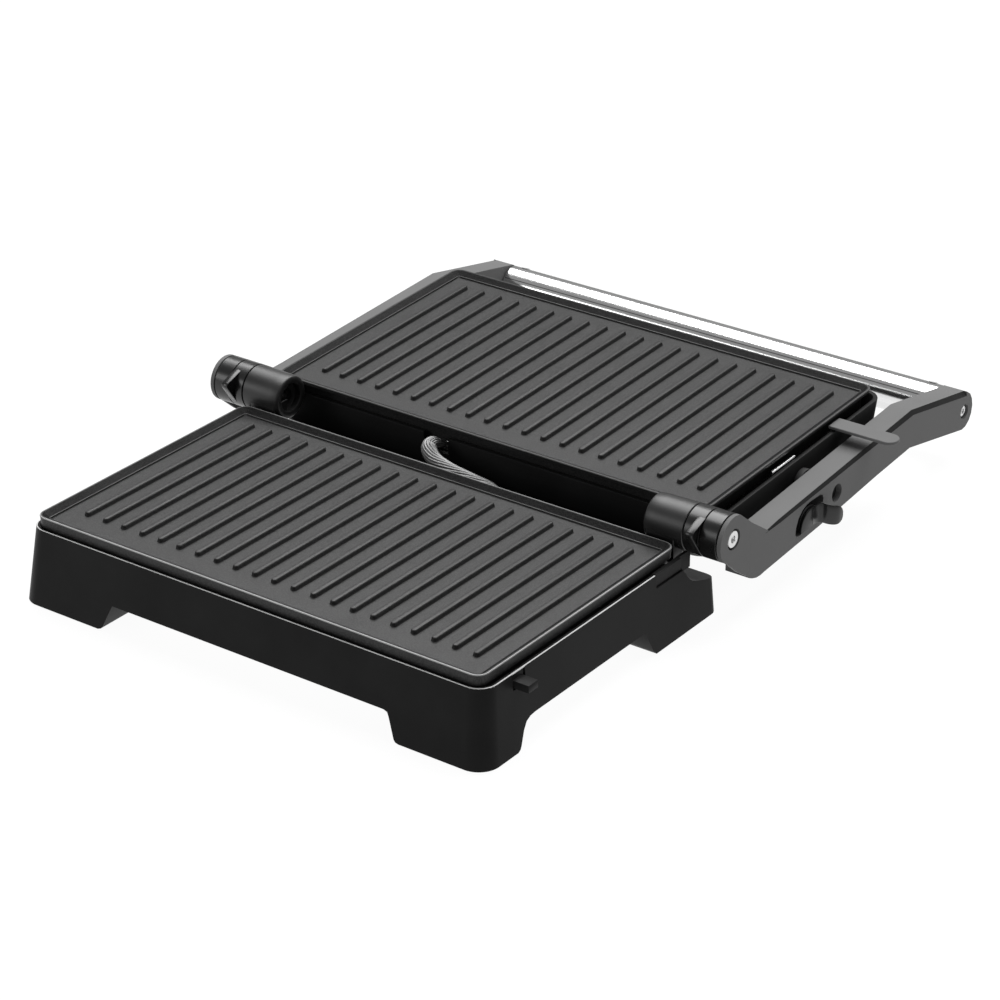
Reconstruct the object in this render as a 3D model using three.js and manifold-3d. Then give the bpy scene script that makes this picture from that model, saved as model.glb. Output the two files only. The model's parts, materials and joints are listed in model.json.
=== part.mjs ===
// Panini press with two ribbed plates, opened flat on its hinge.
// Millimetres. X to the right, Y to the back, Z up, feet on z = 0.
// Pieces are placed in the press frame: x = 0 is the middle between the two arms, y = 0 is the front end of
// the lower plate's ribs, z = 0 is the table. The outer group then moves the origin to the middle of the
// bounding box's bottom.
import * as THREE from "three";
import { mergeVertices } from "three/addons/utils/BufferGeometryUtils.js";
import Module from "manifold-3d";

const wasm = await Module();
wasm.setup();

// ---------- driving dimensions ----------
const GAP = 0.3; // clearance between pieces that touch
const WALL = 2.5; // moulded wall thickness
const AX_Y = 155.6; // main hinge axis
const AX_Z = 51.1;
const BARREL_R = 12.5;
const PIN_R = 4;
const PLATE_HW = 137.2; // half width of both grill plates over the rim
const RIB_COUNT = 21;
const RIB_PITCH = 12;
const RIB_LENGTH = 129.2;
const RIB_W = 3.6;
const RIB_H = 2.1;
const FLOOR_T = 3.5; // thickness of a plate's floor
const LOWER_FLOOR_Z = 43.5;
const LOWER_RIM_Z = 46.7;
const LOWER_FRONT_Y = -18.5;
const LOWER_BACK_Y = 142;
const HOUSING_TOP_HW = 140.4;
const HOUSING_BOTTOM_HW = 144.5;
const HOUSING_TOP_Z = 40.5;
const HOUSING_FRONT_TOP_Y = -20.4;
const HOUSING_FRONT_Y = -26;
const HOUSING_REAR_Y = 171.5;
const HOUSING_REAR_R = 7; // corner radius at the back
const FOOT_Z = 0.5; // underside of the moulded feet
const SKIRT_Z = 15;
const COVER_Z = 17.5; // top of the steel underside cover
const COVER_T = 1.5;
const STEP_Y = 119; // the side rim steps down behind this
const STEP_Z = 33.6;
const RISER_Y = 143; // back of the hollow under the plate, plus a wall
const PIVOT_Y = 250.4; // axis on which the lid floats between the arms
const PIVOT_Z = 38.8;
const LID_TILT = 2.2 * Math.PI / 180;
const LID_HW = 141.5;
const LID_NEAR = -81.1; // lid extents in the lid's own frame
const LID_FAR = 84.2;
const LID_RIM_Z = 12.2; // the rim rises from the hinge side to the handle side
const LID_RIM_FAR_Z = 14.6;
const LIP_Z = 14;
const LID_BOTTOM_Z = -14.5;
const LID_EDGE_R = 11;
const UPPER_FLOOR_Z = 16.5;
const UPPER_RIM_Z = 19.4;
const UPPER_NEAR_Y = -80.6;
const UPPER_FAR_Y = 81.2;
const UPPER_RIB_Y = -62.1;
const ARM_IN = 147.4; // inner and outer faces of the arms at the hinge axis
const ARM_OUT = 161.3;
const ARM_LEAN = 0.0117; // the arms run together towards the handle
const CHEEK_IN = 159.1;
const HANDLE_Y = 394.2;
const HANDLE_Z = 28.2;
const HANDLE_R = 10.9;
const PEDESTAL_IN = 116;
const PEDESTAL_OUT = 139.3;
const COLLAR_OUT = 148.8;
const FOOT_PLACES = [[-118, -8], [118, -8], [-118, 156], [118, 156]];

// ---------- finishes ----------
const finish = (color, roughness, metalness) => new THREE.MeshStandardMaterial({ color, roughness, metalness });
const FINISH = {
  blackPlastic: finish(0x111111, 0.35, 0),
  satinBlack: finish(0x1a1a1b, 0.4, 0),
  greyPaint: finish(0x2c2c2e, 0.42, 0.2),
  nonStick: finish(0x3b3b3c, 0.6, 0.1),
  steel: finish(0xb9bbbe, 0.25, 1),
  handleMetal: finish(0xd2d3d5, 0.2, 1),
  sheetSteel: finish(0x9a9c9f, 0.4, 1),
  element: finish(0x4c4a47, 0.5, 0.8),
  rubber: finish(0x0b0b0b, 0.9, 0),
  ceramic: finish(0xd9d4c8, 0.7, 0),
  redLens: finish(0x8c1a14, 0.2, 0),
  greenLens: finish(0x1c7a36, 0.2, 0),
};

// ---------- solids and booleans ----------
function toSolid(geometry) {
  const bare = geometry.clone();
  for (const name of Object.keys(bare.attributes)) {
    if (name !== "position") bare.deleteAttribute(name);
  }
  const merged = mergeVertices(bare, 1e-4);
  const mesh = new wasm.Mesh({
    numProp: 3,
    vertProperties: new Float32Array(merged.attributes.position.array),
    triVerts: new Uint32Array(merged.index.array),
  });
  return new wasm.Manifold(mesh);
}

function toGeometry(solid) {
  const mesh = solid.getMesh();
  const geometry = new THREE.BufferGeometry();
  geometry.setAttribute("position", new THREE.BufferAttribute(new Float32Array(mesh.vertProperties), 3));
  geometry.setIndex(new THREE.BufferAttribute(new Uint32Array(mesh.triVerts), 1));
  geometry.computeVertexNormals();
  return geometry;
}

const join = (...solids) => solids.reduce((sum, next) => sum.add(next));
const cut = (body, ...tools) => tools.reduce((rest, tool) => rest.subtract(tool), body);

// Ring of points for a rectangle with round corners, anticlockwise seen from above. farRadius is for the two
// corners at y1.
function roundedRing(halfWidth, y0, y1, radius, z, steps = 5, farRadius = radius) {
  const corners = [
    [halfWidth - farRadius, y1 - farRadius, 0, farRadius],
    [-halfWidth + farRadius, y1 - farRadius, 1, farRadius],
    [-halfWidth + radius, y0 + radius, 2, radius],
    [halfWidth - radius, y0 + radius, 3, radius],
  ];
  const ring = [];
  for (const [cx, cy, quarter, r] of corners) {
    for (let i = 0; i <= steps; i += 1) {
      const angle = (quarter + i / steps) * Math.PI / 2;
      ring.push([cx + r * Math.cos(angle), cy + r * Math.sin(angle), z]);
    }
  }
  return ring;
}

// Closed body through a stack of convex rings that have the same number of points, lowest first.
function loft(rings) {
  const count = rings[0].length;
  const positions = rings.flat(2);
  const index = [];
  for (let r = 0; r + 1 < rings.length; r += 1) {
    for (let i = 0; i < count; i += 1) {
      const a = r * count + i;
      const b = r * count + (i + 1) % count;
      index.push(a, b, b + count, a, b + count, a + count);
    }
  }
  const top = (rings.length - 1) * count;
  for (let i = 1; i + 1 < count; i += 1) {
    index.push(0, i + 1, i);
    index.push(top, top + i, top + i + 1);
  }
  const geometry = new THREE.BufferGeometry();
  geometry.setAttribute("position", new THREE.Float32BufferAttribute(positions, 3));
  geometry.setIndex(index);
  return toSolid(geometry);
}

function box(x0, x1, y0, y1, z0, z1) {
  const geometry = new THREE.BoxGeometry(x1 - x0, y1 - y0, z1 - z0);
  geometry.translate((x0 + x1) / 2, (y0 + y1) / 2, (z0 + z1) / 2);
  return toSolid(geometry);
}

// Prism along X from a Shape drawn in the (y, z) plane.
function alongX(shape, x0, x1, bevel = 0, curveSegments = 8) {
  const geometry = new THREE.ExtrudeGeometry(shape, {
    depth: x1 - x0 - 2 * bevel,
    bevelEnabled: bevel > 0,
    bevelSize: bevel,
    bevelThickness: bevel,
    bevelOffset: -bevel,
    bevelSegments: 1,
    curveSegments,
  });
  geometry.translate(0, 0, bevel);
  geometry.applyMatrix4(new THREE.Matrix4().set(0, 0, 1, x0, 1, 0, 0, 0, 0, 1, 0, 0, 0, 0, 0, 1));
  return toSolid(geometry);
}

// Prism along Z from a Shape drawn in the (x, y) plane.
function alongZ(shape, z0, z1, bevel = 0, curveSegments = 4) {
  const geometry = new THREE.ExtrudeGeometry(shape, {
    depth: z1 - z0 - 2 * bevel,
    bevelEnabled: bevel > 0,
    bevelSize: bevel,
    bevelThickness: bevel,
    bevelOffset: -bevel,
    bevelSegments: 1,
    curveSegments,
  });
  geometry.translate(0, 0, z0 + bevel);
  return toSolid(geometry);
}

function polygon(points) {
  return new THREE.Shape(points.map(([a, b]) => new THREE.Vector2(a, b)));
}

// Turned body about a line along X through (y, z). The profile gives [x, radius] and ends on the axis.
function turnedX(profile, y, z, segments = 24) {
  const points = profile.map(([x, r]) => new THREE.Vector2(r, x));
  const geometry = new THREE.LatheGeometry(points, segments);
  geometry.rotateZ(-Math.PI / 2);
  geometry.translate(0, y, z);
  return toSolid(geometry);
}

// Turned body about a vertical line. The profile gives [z, radius] and ends on the axis.
function turnedZ(profile, x, y, segments = 20) {
  const points = profile.map(([z, r]) => new THREE.Vector2(r, z));
  const geometry = new THREE.LatheGeometry(points, segments);
  geometry.rotateX(Math.PI / 2);
  geometry.translate(x, y, 0);
  return toSolid(geometry);
}

function rodX(x0, x1, y, z, radius, segments = 24) {
  return turnedX([[x0, 0], [x0, radius], [x1, radius], [x1, 0]], y, z, segments);
}

// Round bar along a smooth path.
function barAlong(points, radius, steps, sides = 8, tension = 0.5) {
  const path = new THREE.CatmullRomCurve3(points.map((p) => new THREE.Vector3(...p)), false, "catmullrom", tension);
  const section = new THREE.Shape();
  section.absarc(0, 0, radius, 0, Math.PI * 2, false);
  const options = { steps, extrudePath: path, bevelEnabled: false, curveSegments: sides / 2 };
  return toSolid(new THREE.ExtrudeGeometry(section, options));
}

const mirrored = (solid) => solid.mirror([1, 0, 0]);

const press = new THREE.Group();
const lid = new THREE.Group();
lid.position.set(0, PIVOT_Y, PIVOT_Z);
lid.rotation.x = LID_TILT;
press.add(lid);

function place(name, solid, material, parent = press) {
  const mesh = new THREE.Mesh(toGeometry(solid), material);
  mesh.name = name;
  parent.add(mesh);
}

// A left and a right copy of a piece that is drawn on the right.
function placePair(name, solid, material, parent = press) {
  place(`${name}_right`, solid, material, parent);
  place(`${name}_left`, mirrored(solid), material, parent);
}

// ---------- grill plates ----------
function ribs(firstY, floorZ) {
  const rib = new THREE.Shape();
  rib.absarc(0, firstY + RIB_W / 2, RIB_W / 2, Math.PI, Math.PI * 2, false);
  rib.absarc(0, firstY + RIB_LENGTH - RIB_W / 2, RIB_W / 2, 0, Math.PI, false);
  rib.closePath();
  const one = alongZ(rib, floorZ - 0.9, floorZ + RIB_H, 0.9, 3);
  const copies = [];
  for (let i = 0; i < RIB_COUNT; i += 1) {
    copies.push(one.translate([(i - (RIB_COUNT - 1) / 2) * RIB_PITCH, 0, 0]));
  }
  return join(...copies);
}

// Cast plate: rim wall, floor with ribs, a skirt that drops into the body below it, and a hollow underside.
function grillPlate(y0, y1, ribY, floorZ, rimZ, skirtZ, lipZ, skirtInset) {
  const rimWidth = 2.6;
  const draft = 0.6;
  const lip = loft([
    roundedRing(PLATE_HW - draft, y0 + draft, y1 - draft, 5.5, lipZ),
    roundedRing(PLATE_HW, y0, y1, 6, rimZ - 0.7),
    roundedRing(PLATE_HW - 0.7, y0 + 0.7, y1 - 0.7, 5.5, rimZ),
  ]);
  const skirt = loft([
    roundedRing(PLATE_HW - 1.5, y0 + skirtInset, y1 - skirtInset, 5, skirtZ),
    roundedRing(PLATE_HW - 1.5, y0 + skirtInset, y1 - skirtInset, 5, lipZ + 1),
  ]);
  const outer = join(lip, skirt);
  const basin = loft([
    roundedRing(PLATE_HW - rimWidth - 1.2, y0 + rimWidth + 1.2, y1 - rimWidth - 1.2, 3, floorZ),
    roundedRing(PLATE_HW - rimWidth + 0.2, y0 + rimWidth - 0.2, y1 - rimWidth + 0.2, 4, rimZ + 0.5),
  ]);
  const under = loft([
    roundedRing(PLATE_HW - 5, y0 + skirtInset + 3, y1 - skirtInset - 3, 4, skirtZ - 1),
    roundedRing(PLATE_HW - 6, y0 + skirtInset + 4, y1 - skirtInset - 4, 4, floorZ - FLOOR_T),
  ]);
  return join(cut(outer, basin, under), ribs(ribY, floorZ));
}

const barrelRoom = rodX(-148, -113.5, AX_Y, AX_Z, BARREL_R + 1.5, 32)
  .add(rodX(113.5, 148, AX_Y, AX_Z, BARREL_R + 1.5, 32));
const tiltDegrees = LID_TILT * 180 / Math.PI;
// The same room seen from the lid's own, tilted frame.
const barrelRoomInLid = barrelRoom.translate([0, -PIVOT_Y, -PIVOT_Z]).rotate([-tiltDegrees, 0, 0]);

const LOWER_BUTTON_Y = 5.8;
const LOWER_BUTTON_Z = 34.8;
const UPPER_TONGUE_Y = 39.2;
const TONGUE_Z = 15.5;

function lowerPlate() {
  const plate = grillPlate(LOWER_FRONT_Y, LOWER_BACK_Y, 0, LOWER_FLOOR_Z, LOWER_RIM_Z, 36.4, 38.5, 1.5);
  const buttonRoom = box(129.5, 140, LOWER_BUTTON_Y - 7, LOWER_BUTTON_Y + 7, 35, 41.3);
  return cut(plate, buttonRoom, barrelRoom);
}

function upperPlate() {
  const plate = grillPlate(UPPER_NEAR_Y, UPPER_FAR_Y, UPPER_RIB_Y, UPPER_FLOOR_Z, UPPER_RIM_Z, 8.6,
    LIP_Z, 3.4);
  const tongueRoom = box(131, 140, UPPER_TONGUE_Y - 7, UPPER_TONGUE_Y + 7, 8, 17);
  const conduitRoom = box(-33, -21, UPPER_NEAR_Y - 2, UPPER_NEAR_Y + 8, 8, 15.6);
  return cut(plate, tongueRoom, conduitRoom, barrelRoomInLid);
}

// ---------- base ----------
// Back end of the side profile: the scoop that drops from the stepped rim to the low ledge.
function scoop(shape, lift) {
  shape.lineTo(142 + lift, STEP_Z + lift);
  shape.lineTo(144.4 + lift, 31 + lift);
  shape.quadraticCurveTo(148.4 + lift, 24.8 + lift, 157, 22.2 + lift);
  shape.lineTo(175, 16.9 + lift);
}

function baseHousing() {
  const outer = loft([
    roundedRing(HOUSING_BOTTOM_HW, HOUSING_FRONT_Y, HOUSING_REAR_Y, 11.5, FOOT_Z, 6, HOUSING_REAR_R),
    roundedRing(HOUSING_TOP_HW, HOUSING_FRONT_TOP_Y, HOUSING_REAR_Y, 10, HOUSING_TOP_Z, 6, HOUSING_REAR_R),
  ]);
  // Everything above the side profile: the step, the scoop and the ledge.
  const above = new THREE.Shape();
  above.moveTo(STEP_Y, 60);
  above.lineTo(STEP_Y, STEP_Z);
  scoop(above, 0);
  above.lineTo(175, 60);
  above.closePath();
  const inside = loft([
    roundedRing(HOUSING_BOTTOM_HW - WALL - 1.5, HOUSING_FRONT_Y + WALL + 2, HOUSING_REAR_Y - WALL, 9,
      COVER_Z - COVER_T - GAP),
    roundedRing(HOUSING_TOP_HW - 3.8, HOUSING_FRONT_TOP_Y + 3.5, HOUSING_REAR_Y - WALL, 8, 60),
  ]);
  // The inside stays under the scoop and the ledge, so a roof is left there.
  const roof = new THREE.Shape();
  roof.moveTo(RISER_Y - WALL, 70);
  roof.lineTo(RISER_Y - WALL, 19);
  roof.lineTo(RISER_Y, 17.6);
  roof.lineTo(180, 14);
  roof.lineTo(180, 70);
  roof.closePath();
  const cavity = cut(inside, alongX(roof, -150, 150));
  const between = cut(
    box(-HOUSING_BOTTOM_HW, HOUSING_BOTTOM_HW, 19, 106, 0, COVER_Z - COVER_T - GAP),
    box(-150, -HOUSING_BOTTOM_HW + WALL + 0.6, 0, 150, 0, 20),
    box(HOUSING_BOTTOM_HW - WALL - 0.6, 150, 0, 150, 0, 20),
  );
  const middle = box(-82, 82, HOUSING_FRONT_Y + WALL + 0.6, HOUSING_REAR_Y - WALL, 0, COVER_Z - COVER_T - GAP);
  const frontArch = polygon([[-93, -5], [-92, 0.4], [-89.8, 1.2], [-88.6, 2.6], [-83, SKIRT_Z], [85.2, SKIRT_Z],
    [87.4, 14.3], [88.3, 12.6], [92.3, 2], [93.4, 0.9], [95.6, 0.4], [96.4, -5]]);
  const frontCut = new THREE.ExtrudeGeometry(frontArch, { depth: 260, bevelEnabled: false });
  frontCut.rotateX(Math.PI / 2);
  frontCut.translate(0, 210, 0);
  const sideArch = polygon([[-0.6, -5], [0.4, 0.4], [2.4, 1.4], [3.4, 3], [6.2, 9.6], [8.8, 13.2], [12, 14.6],
    [16, SKIRT_Z], [105, SKIRT_Z], [107.8, 14.4], [109, 11.5], [112.6, 3.2], [115.4, 0.4], [116.2, -5]]);
  const grommetHole = turnedZ([[0, 0], [0, 6], [30, 6], [30, 0]], 0, 0).rotate([-90, 0, 0])
    .translate([GROMMET_X, 130, GROMMET_Z]);
  const grommetSeat = turnedZ([[0, 0], [0, 8.2], [20, 8.2], [20, 0]], 0, 0).rotate([-90, 0, 0])
    .translate([GROMMET_X, 145, GROMMET_Z]);
  const glandHole = turnedZ([[0, 0], [0, 5.3], [30, 5.3], [30, 0]], 0, 0).rotate([-90, 0, 0])
    .translate([GLAND_X, 130, GLAND_Z]);
  const glandSeat = turnedZ([[0, 0], [0, 8], [22, 8], [22, 0]], 0, 0).rotate([-90, 0, 0])
    .translate([GLAND_X, 144.6, GLAND_Z]);
  const buttonNotch = box(134, 150, LOWER_BUTTON_Y - 5, LOWER_BUTTON_Y + 5, LOWER_BUTTON_Z - 2.6, 45);
  return cut(
    outer,
    alongX(above, -150, 150),
    cavity,
    between,
    middle,
    toSolid(frontCut),
    alongX(sideArch, -150, 150),
    buttonNotch,
    grommetHole,
    grommetSeat,
    glandHole,
    glandSeat,
    ...FOOT_PLACES.map(([x, y]) => turnedZ([[0, 0], [0, 10.3], [3.4, 10.3], [3.4, 0]], x, y)),
  );
}

function pedestal() {
  // Tapered barrel: it is slimmer at its inner end, where a shallow pocket shows.
  const barrel = turnedX([
    [PEDESTAL_IN, 0], [PEDESTAL_IN, BARREL_R - 1], [PEDESTAL_IN + 1, BARREL_R - 0.5],
    [PEDESTAL_OUT - 2, BARREL_R], [PEDESTAL_OUT, BARREL_R], [PEDESTAL_OUT, 0],
  ], AX_Y, AX_Z, 32);
  const leg = polygon([[143.6, 15], [153.5, 15], [154.5, 40], [155, 52], [144.6, 52], [143.6, 38]]);
  const foot = alongX(leg, PEDESTAL_IN + 2, PEDESTAL_OUT);
  const cheek = box(137.6, PEDESTAL_OUT, STEP_Y + GAP, 151.6, STEP_Z + GAP, 41)
    .add(box(138.5, 140.3, STEP_Y + GAP, 141.6, STEP_Z + GAP, 40.6));
  const roomUnderPlate = box(100, 137.6, 100, 143.2, 0, 60);
  const pocket = rodX(PEDESTAL_IN - 1, PEDESTAL_IN + 6, AX_Y, AX_Z, 7.4);
  const bore = rodX(PEDESTAL_IN + 6, 142, AX_Y, AX_Z, PIN_R + GAP);
  const ledge = new THREE.Shape();
  ledge.moveTo(STEP_Y, 0);
  ledge.lineTo(STEP_Y, STEP_Z + GAP);
  scoop(ledge, GAP);
  ledge.lineTo(175, 0);
  ledge.closePath();
  return cut(join(barrel, foot), roomUnderPlate, pocket, bore, alongX(ledge, 100, 150)).add(cheek);
}

function undersideCover() {
  const sheet = loft([
    roundedRing(HOUSING_BOTTOM_HW - 4.5, HOUSING_FRONT_Y + 5.1, RISER_Y - WALL - 0.6, 9.5, COVER_Z - COVER_T),
    roundedRing(HOUSING_BOTTOM_HW - 4.7, HOUSING_FRONT_Y + 5.3, RISER_Y - WALL - 0.6, 9.5, COVER_Z),
  ]);
  const vents = [];
  for (let i = -4; i <= 4; i += 1) {
    vents.push(box(i * 16 - 1.6, i * 16 + 1.6, 52, 96, 10, 30));
  }
  return cut(sheet, ...vents);
}

function reflectorPan(hw, y0, y1, z0, z1) {
  const outer = loft([roundedRing(hw - 2, y0 + 2, y1 - 2, 6, z0, 3), roundedRing(hw, y0, y1, 8, z1, 3)]);
  const inner = loft([roundedRing(hw - 3.2, y0 + 3.2, y1 - 3.2, 5, z0 + 1, 3), roundedRing(hw - 1, y0 + 1, y1 - 1, 7, z1 + 1, 3)]);
  return cut(outer, inner);
}

// Tubular element: two loops side by side, with both ends on the terminal side.
function heatingElement(y0, y1, z) {
  const near = y0 + 22;
  const far = y1 - 22;
  const points = [[-104, near, z], [-104, far - 14, z], [-90, far, z], [-62, far, z], [-48, far - 14, z],
    [-48, near + 14, z], [-34, near, z], [34, near, z], [48, near + 14, z], [48, far - 14, z], [62, far, z],
    [90, far, z], [104, far - 14, z], [104, near, z]];
  return barAlong(points, 3.3, 52, 6);
}

function releaseButton() {
  const y = LOWER_BUTTON_Y;
  const z = LOWER_BUTTON_Z;
  const stem = box(134, 149, y - 3.8, y + 3.8, z - 2, z + 2);
  const tab = box(138.4, 140.1, y - 4.4, y + 4.4, z - 2, HOUSING_TOP_Z);
  return join(stem, tab);
}

// ---------- arms ----------
const ARM_PROFILE = [[172.6, 53.2], [188.1, 42.6], [335, 51.4], [395.8, 39.6]];
const ARM_END = [[401.4, 34.6], [403.2, 29.2], [401.9, 23], [398.5, 19.6]];
const ARM_UNDER = [[392.6, 18], [333, 30.6], [297, 28.3], [239.5, 23.5], [186, 20.4]];
// Distance by which the arm's faces have come in at a given y.
const lean = (y) => ARM_LEAN * (y - AX_Y);
const leanArm = (solid) => solid.transform([1, 0, 0, 0, -ARM_LEAN, 1, 0, 0, 0, 0, 1, 0, ARM_LEAN * AX_Y, 0, 0, 1]);

function armShape(startY) {
  const shape = new THREE.Shape();
  const reach = 13; // rounded nose about the hinge axis
  if (startY < AX_Y) {
    const low = -0.62 * Math.PI;
    const high = 0.34 * Math.PI;
    shape.absarc(AX_Y, AX_Z, reach, low, high, true);
  } else {
    shape.moveTo(startY, 28);
    shape.lineTo(startY, 49.5);
  }
  for (const [y, z] of ARM_PROFILE.slice(startY < AX_Y ? 0 : 1)) shape.lineTo(y, z);
  shape.splineThru(ARM_END.map(([y, z]) => new THREE.Vector2(y, z)));
  for (const [y, z] of ARM_UNDER) shape.lineTo(y, z);
  shape.quadraticCurveTo(179.5, 19.9, 173.4, 22);
  if (startY >= AX_Y) shape.lineTo(startY, 24);
  shape.closePath();
  return shape;
}

const LEVER_Y = 228.2; // pivot of the release lever in the right arm
const LEVER_Z = 30.8;
const LEVER_R = 8.8;
const LEVER_PIN_R = 2;
const WINDOW_FLOOR = ARM_IN + 3;

function arm(isRight) {
  const cheek = alongX(armShape(AX_Y - 5), CHEEK_IN, ARM_OUT, 0.5, 7);
  const bar = alongX(armShape(171.5), ARM_IN, ARM_OUT, 1.1, 5);
  const handleIn = ARM_IN - lean(HANDLE_Y);
  const handleOut = ARM_OUT - lean(HANDLE_Y);
  const screwSeat = rodX(CHEEK_IN - 5, ARM_OUT + 5, AX_Y, AX_Z, 5.6);
  const pivotBore = rodX(ARM_IN - 5, ARM_OUT + 5, PIVOT_Y, PIVOT_Z, 4.8);
  const handleSeat = rodX(handleIn - 5, handleIn + 6, HANDLE_Y, HANDLE_Z, 5.2);
  const endBore = rodX(handleIn, handleOut + 5, HANDLE_Y, HANDLE_Z, 2.3);
  const endSeat = rodX(handleOut - 3.2, handleOut + 5, HANDLE_Y, HANDLE_Z, 4.2);
  const solid = cut(leanArm(join(cheek, bar)), screwSeat, pivotBore, handleSeat, endBore, endSeat);
  if (!isRight) return solid;
  // Recess for the release lever: a slanted D with round ends, closed by a web on the inside.
  const window = new THREE.Shape();
  window.moveTo(215.4, 29);
  window.quadraticCurveTo(217, 40.6, 230.4, 41.6);
  window.lineTo(237, 41.4);
  window.absarc(239.2, 38, 3.4, 0.5 * Math.PI, -0.35 * Math.PI, true);
  window.lineTo(236, 27.4);
  window.lineTo(218.4, 26.2);
  window.quadraticCurveTo(215.2, 26.2, 215.4, 29);
  const pinSeat = rodX(ARM_IN - 1, WINDOW_FLOOR + 1, LEVER_Y, LEVER_Z, LEVER_PIN_R + GAP, 16);
  return cut(solid, alongX(window, WINDOW_FLOOR, ARM_OUT + 5), pinSeat);
}

function releaseLever() {
  const plate = new THREE.Shape();
  plate.absarc(LEVER_Y, LEVER_Z, LEVER_R, -0.06 * Math.PI, 1.08 * Math.PI, false);
  plate.closePath();
  const face = ARM_OUT - lean(LEVER_Y);
  const disc = alongX(plate, WINDOW_FLOOR + GAP, face + 1, 0.4, 10);
  const tab = polygon([[LEVER_Y + 2, LEVER_Z - 1], [LEVER_Y + 8, LEVER_Z - 0.6], [LEVER_Y + 15, LEVER_Z + 1.4],
    [LEVER_Y + 17, LEVER_Z + 3.4], [LEVER_Y + 14.6, LEVER_Z + 4.6], [LEVER_Y + 8, LEVER_Z + 3.4],
    [LEVER_Y + 2, LEVER_Z + 3]]);
  const bore = rodX(ARM_IN, 168, LEVER_Y, LEVER_Z, LEVER_PIN_R + GAP, 16);
  return cut(disc, bore).add(alongX(tab, face + GAP, 172.5, 0.5));
}

function stopCollar() {
  const ring = rodX(PEDESTAL_OUT + GAP, COLLAR_OUT, AX_Y, AX_Z, BARREL_R, 32);
  const fin = polygon([[150.2, 61.6], [137.6, 57.2], [137.2, 55], [145.4, 43.6], [155.6, 45], [155.6, 61.6]]);
  const bore = rodX(138, 150, AX_Y, AX_Z, PIN_R + GAP);
  return cut(join(ring, alongX(fin, 144.6, COLLAR_OUT)), bore);
}

function hingeBarrel() {
  const body = rodX(COLLAR_OUT + GAP, CHEEK_IN - 0.5, AX_Y, AX_Z, BARREL_R, 32);
  const bore = rodX(140, 165, AX_Y, AX_Z, PIN_R + GAP);
  return cut(body, bore);
}

const hingePin = rodX(PEDESTAL_IN + 8, CHEEK_IN - 1, AX_Y, AX_Z, PIN_R, 16);
const hingeScrew = cut(
  turnedX([[CHEEK_IN, 0], [CHEEK_IN, 4.6], [ARM_OUT - 0.6, 4.6], [ARM_OUT - 0.3, 4.2],
    [ARM_OUT - 0.3, 0]], AX_Y, AX_Z, 24),
  rodX(ARM_OUT - 1.6, ARM_OUT + 2, AX_Y, AX_Z, 2.1, 6),
);
const HANDLE_IN = ARM_IN - lean(HANDLE_Y);
const HANDLE_OUT = ARM_OUT - lean(HANDLE_Y);
const handleScrew = cut(
  turnedX([[HANDLE_IN + 1, 0], [HANDLE_IN + 1, 2], [HANDLE_OUT - 2.9, 2], [HANDLE_OUT - 2.9, 3.8],
    [HANDLE_OUT - 1.4, 3.6], [HANDLE_OUT - 0.9, 2.8], [HANDLE_OUT - 0.9, 0]], HANDLE_Y, HANDLE_Z, 24),
  rodX(HANDLE_OUT - 2, HANDLE_OUT + 2, HANDLE_Y, HANDLE_Z, 1.5, 6),
);
const PIVOT_IN = ARM_IN - lean(PIVOT_Y) - 1;
const PIVOT_OUT = ARM_OUT - lean(PIVOT_Y) - 2.2;
const lidPivotPin = turnedX([[LID_HW + GAP, 0], [LID_HW + GAP, 7.5], [PIVOT_IN, 7.5], [PIVOT_IN, 4.4],
  [PIVOT_OUT, 4.4], [PIVOT_OUT, 0]], 0, 0, 24);

function handleTube() {
  const end = HANDLE_IN - GAP - 0.2;
  const outer = rodX(-end, end, HANDLE_Y, HANDLE_Z, HANDLE_R, 32);
  const bore = rodX(-end - 1, end + 1, HANDLE_Y, HANDLE_Z, HANDLE_R - 1.6, 24);
  return cut(outer, bore);
}

// Solid plug that closes each end of the tube and takes the end screw.
const handlePlug = cut(
  rodX(HANDLE_IN - 18, HANDLE_IN + 0.6, HANDLE_Y, HANDLE_Z, 5, 24).add(
    rodX(HANDLE_IN - 18, HANDLE_IN - 0.6, HANDLE_Y, HANDLE_Z, HANDLE_R - 2, 24)),
  rodX(HANDLE_IN, HANDLE_IN + 4, HANDLE_Y, HANDLE_Z, 2.3, 16),
);

// ---------- lid ----------
function lidShell() {
  const rings = [];
  const inner = [];
  const steps = 5;
  for (let i = 0; i <= steps; i += 1) {
    const a = (i / steps) * Math.PI / 2;
    const inset = LID_EDGE_R * (1 - Math.sin(a));
    const z = LID_BOTTOM_Z + LID_EDGE_R * (1 - Math.cos(a));
    rings.push(roundedRing(LID_HW - inset, LID_NEAR + inset, LID_FAR - inset, 16 - inset * 0.6, z));
    inner.push(roundedRing(LID_HW - WALL - inset, LID_NEAR + WALL + inset, LID_FAR - WALL - inset,
      13.5 - inset * 0.6, z + WALL));
  }
  rings.push(roundedRing(LID_HW, LID_NEAR, LID_FAR, 9, LID_RIM_FAR_Z + 2));
  inner.push(roundedRing(LID_HW - WALL, LID_NEAR + WALL, LID_FAR - WALL, 6.8, LID_RIM_FAR_Z + 3));
  const aboveRim = alongX(polygon([[LID_NEAR - 5, LID_RIM_Z], [LID_FAR + 5, LID_RIM_FAR_Z], [LID_FAR + 5, 30],
    [LID_NEAR - 5, 30]]), -150, 150);
  const conduitNotch = box(-38, -22, LID_NEAR - 4, LID_NEAR + 6, 3, 20);
  const lampHoles = [-9, 9].map((x) => turnedZ([[LID_BOTTOM_Z - 2, 0], [LID_BOTTOM_Z - 2, 3.4],
    [LID_BOTTOM_Z + 5, 3.4], [LID_BOTTOM_Z + 5, 0]], x, 52, 20));
  return cut(loft(rings), loft(inner), aboveRim, barrelRoomInLid, conduitNotch, ...lampHoles);
}

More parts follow.
